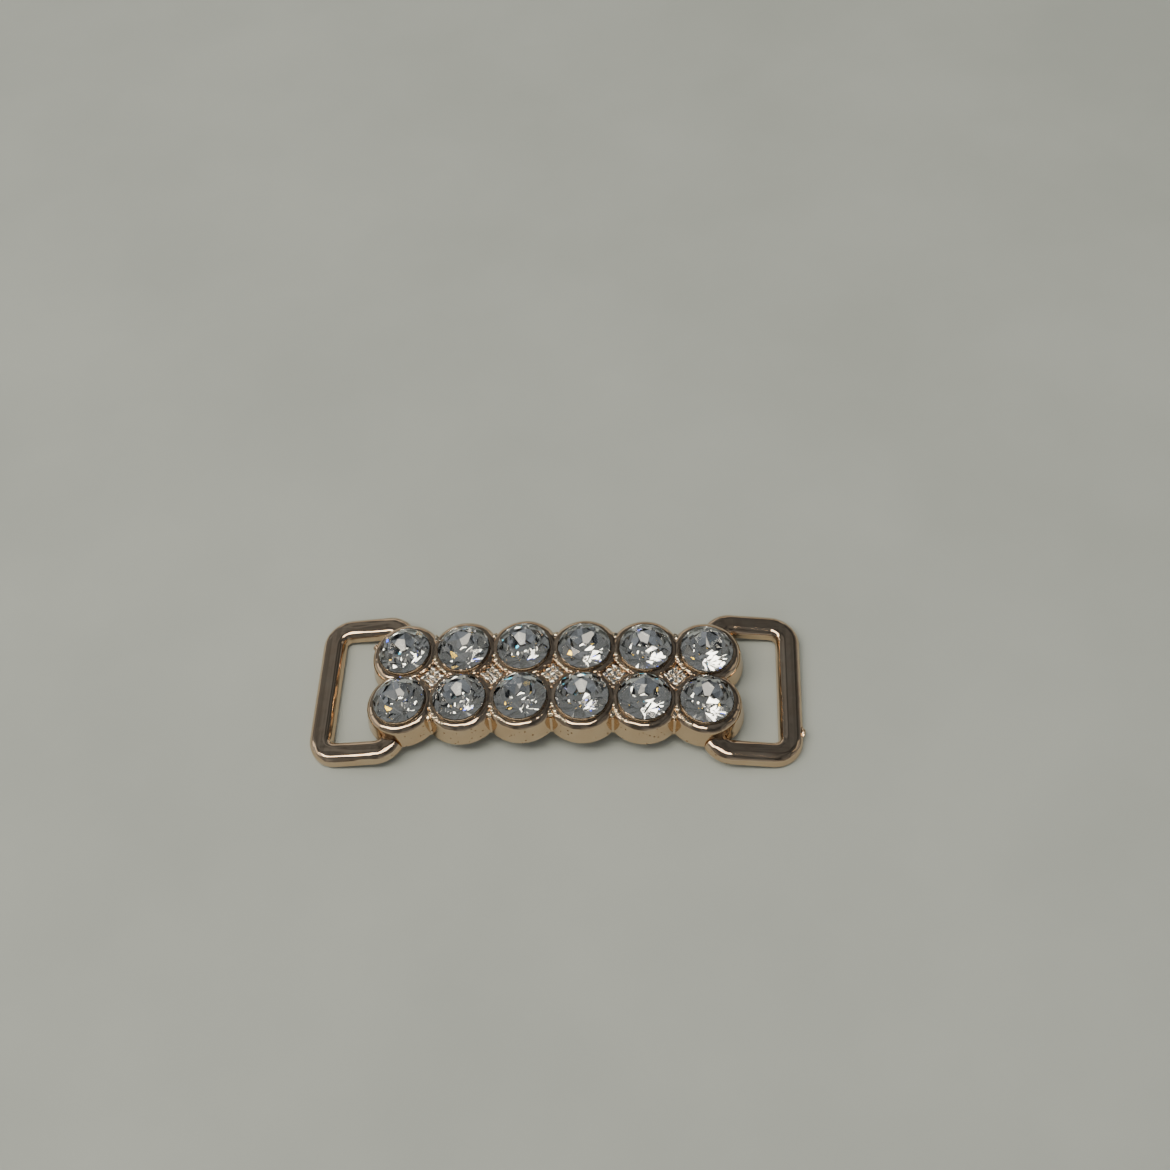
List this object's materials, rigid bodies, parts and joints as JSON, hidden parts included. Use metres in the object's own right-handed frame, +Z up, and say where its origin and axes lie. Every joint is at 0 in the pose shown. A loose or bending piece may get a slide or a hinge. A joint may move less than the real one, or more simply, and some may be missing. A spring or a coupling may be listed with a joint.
{
  "type": "shoe buckle",
  "caption": "Slightly arched, champagne-gold plated cast shoe buckle with two rows of round cut-glass stones and a strap loop at each end.",
  "frame": {"origin": "middle of the buckle, on the surface that it rests on", "axes": "+X along the buckle's length, +Y from the front row of stones towards the back row, +Z up out of the stones"},
  "size_m": [0.059, 0.0204, 0.0073],
  "materials": {
    "plated_casting": "polished light-gold plating on a casting, slightly wavy, with fine pits",
    "cut_glass": "clear cut crystal glass with a mirror foil behind the point"
  },
  "bodies": {
    "root": {"casting": "plated_casting", "stone_front_1": "cut_glass", "stone_front_2": "cut_glass", "stone_front_3": "cut_glass", "stone_front_4": "cut_glass", "stone_front_5": "cut_glass", "stone_front_6": "cut_glass", "stone_back_1": "cut_glass", "stone_back_2": "cut_glass", "stone_back_3": "cut_glass", "stone_back_4": "cut_glass", "stone_back_5": "cut_glass", "stone_back_6": "cut_glass"}
  },
  "joints": []
}
